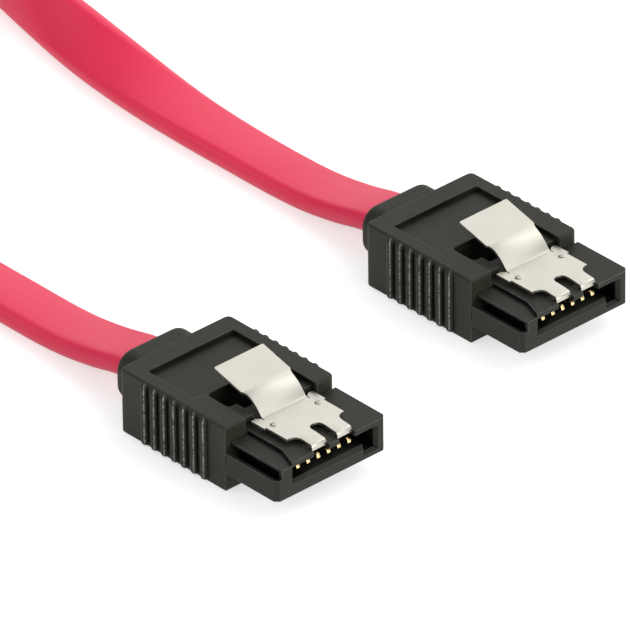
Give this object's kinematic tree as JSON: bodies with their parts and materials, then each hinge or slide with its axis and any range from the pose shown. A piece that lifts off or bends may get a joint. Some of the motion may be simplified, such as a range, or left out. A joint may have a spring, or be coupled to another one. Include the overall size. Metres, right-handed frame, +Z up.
{
  "type": "sata data cable",
  "caption": "Flat red data cable with a black ribbed plug on each end, each with an L-shaped slot, contacts and a sprung steel latch.",
  "frame": {"origin": "on the surface that the plugs rest on, under the middle of the box round the two plugs", "axes": "+X towards the mating faces of both plugs, +Y from plug a to plug b, +Z up"},
  "size_m": [0.1318, 0.0486, 0.009],
  "materials": {
    "overmould": "matte, fine grain",
    "insert": "satin",
    "latch": "satin",
    "contact": "gold plated",
    "cable": "satin jacket"
  },
  "bodies": {
    "plugs_and_cable": {"plug_a_overmould": "overmould", "plug_a_insert": "insert", "plug_a_contact_1": "contact", "plug_a_contact_2": "contact", "plug_a_contact_3": "contact", "plug_a_contact_4": "contact", "plug_a_contact_5": "contact", "plug_a_contact_6": "contact", "plug_a_contact_7": "contact", "plug_b_overmould": "overmould", "plug_b_insert": "insert", "plug_b_contact_1": "contact", "plug_b_contact_2": "contact", "plug_b_contact_3": "contact", "plug_b_contact_4": "contact", "plug_b_contact_5": "contact", "plug_b_contact_6": "contact", "plug_b_contact_7": "contact", "cable": "cable"},
    "latch_a": {"plug_a_latch": "latch"},
    "latch_b": {"plug_b_latch": "latch"}
  },
  "joints": [
    {"name": "latch_a_press", "type": "hinge", "parent": "plugs_and_cable", "child": "latch_a", "pos_m": [0.0124, -0.0166, 0.006], "axis": [0, -1, 0], "range_deg": [0, 3], "stiffness_Nm_per_rad": 0.02},
    {"name": "latch_b_press", "type": "hinge", "parent": "plugs_and_cable", "child": "latch_b", "pos_m": [0.0091, 0.0174, 0.006], "axis": [0, -1, 0], "range_deg": [0, 3], "stiffness_Nm_per_rad": 0.02}
  ]
}
